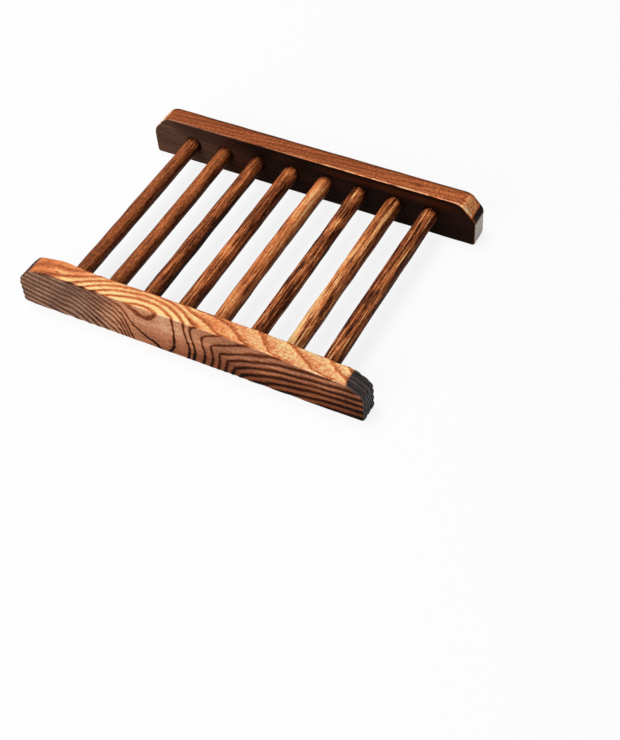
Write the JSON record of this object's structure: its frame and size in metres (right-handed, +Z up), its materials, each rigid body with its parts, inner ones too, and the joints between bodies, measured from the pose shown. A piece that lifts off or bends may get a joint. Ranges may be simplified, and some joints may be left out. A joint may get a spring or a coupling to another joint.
{
  "type": "soap dish",
  "caption": "Slatted wooden soap dish: round dowels glued between two low rails with sloping, rounded shoulders, holding a bar of soap up so that it drains and dries.",
  "frame": {"origin": "middle of the dish, on the surface that it stands on", "axes": "+X along the rails, +Y from the front rail to the back rail, +Z up"},
  "size_m": [0.115, 0.084, 0.015],
  "materials": {
    "rail_wood": "scorched, brushed and waxed softwood with raised grain, satin",
    "dowel_wood": "scorched and waxed dowel with fibres along its length, satin"
  },
  "bodies": {
    "root": {"front_rail": "rail_wood", "back_rail": "rail_wood", "dowel_1": "dowel_wood", "dowel_2": "dowel_wood", "dowel_3": "dowel_wood", "dowel_4": "dowel_wood", "dowel_5": "dowel_wood", "dowel_6": "dowel_wood", "dowel_7": "dowel_wood", "dowel_8": "dowel_wood"}
  },
  "joints": []
}
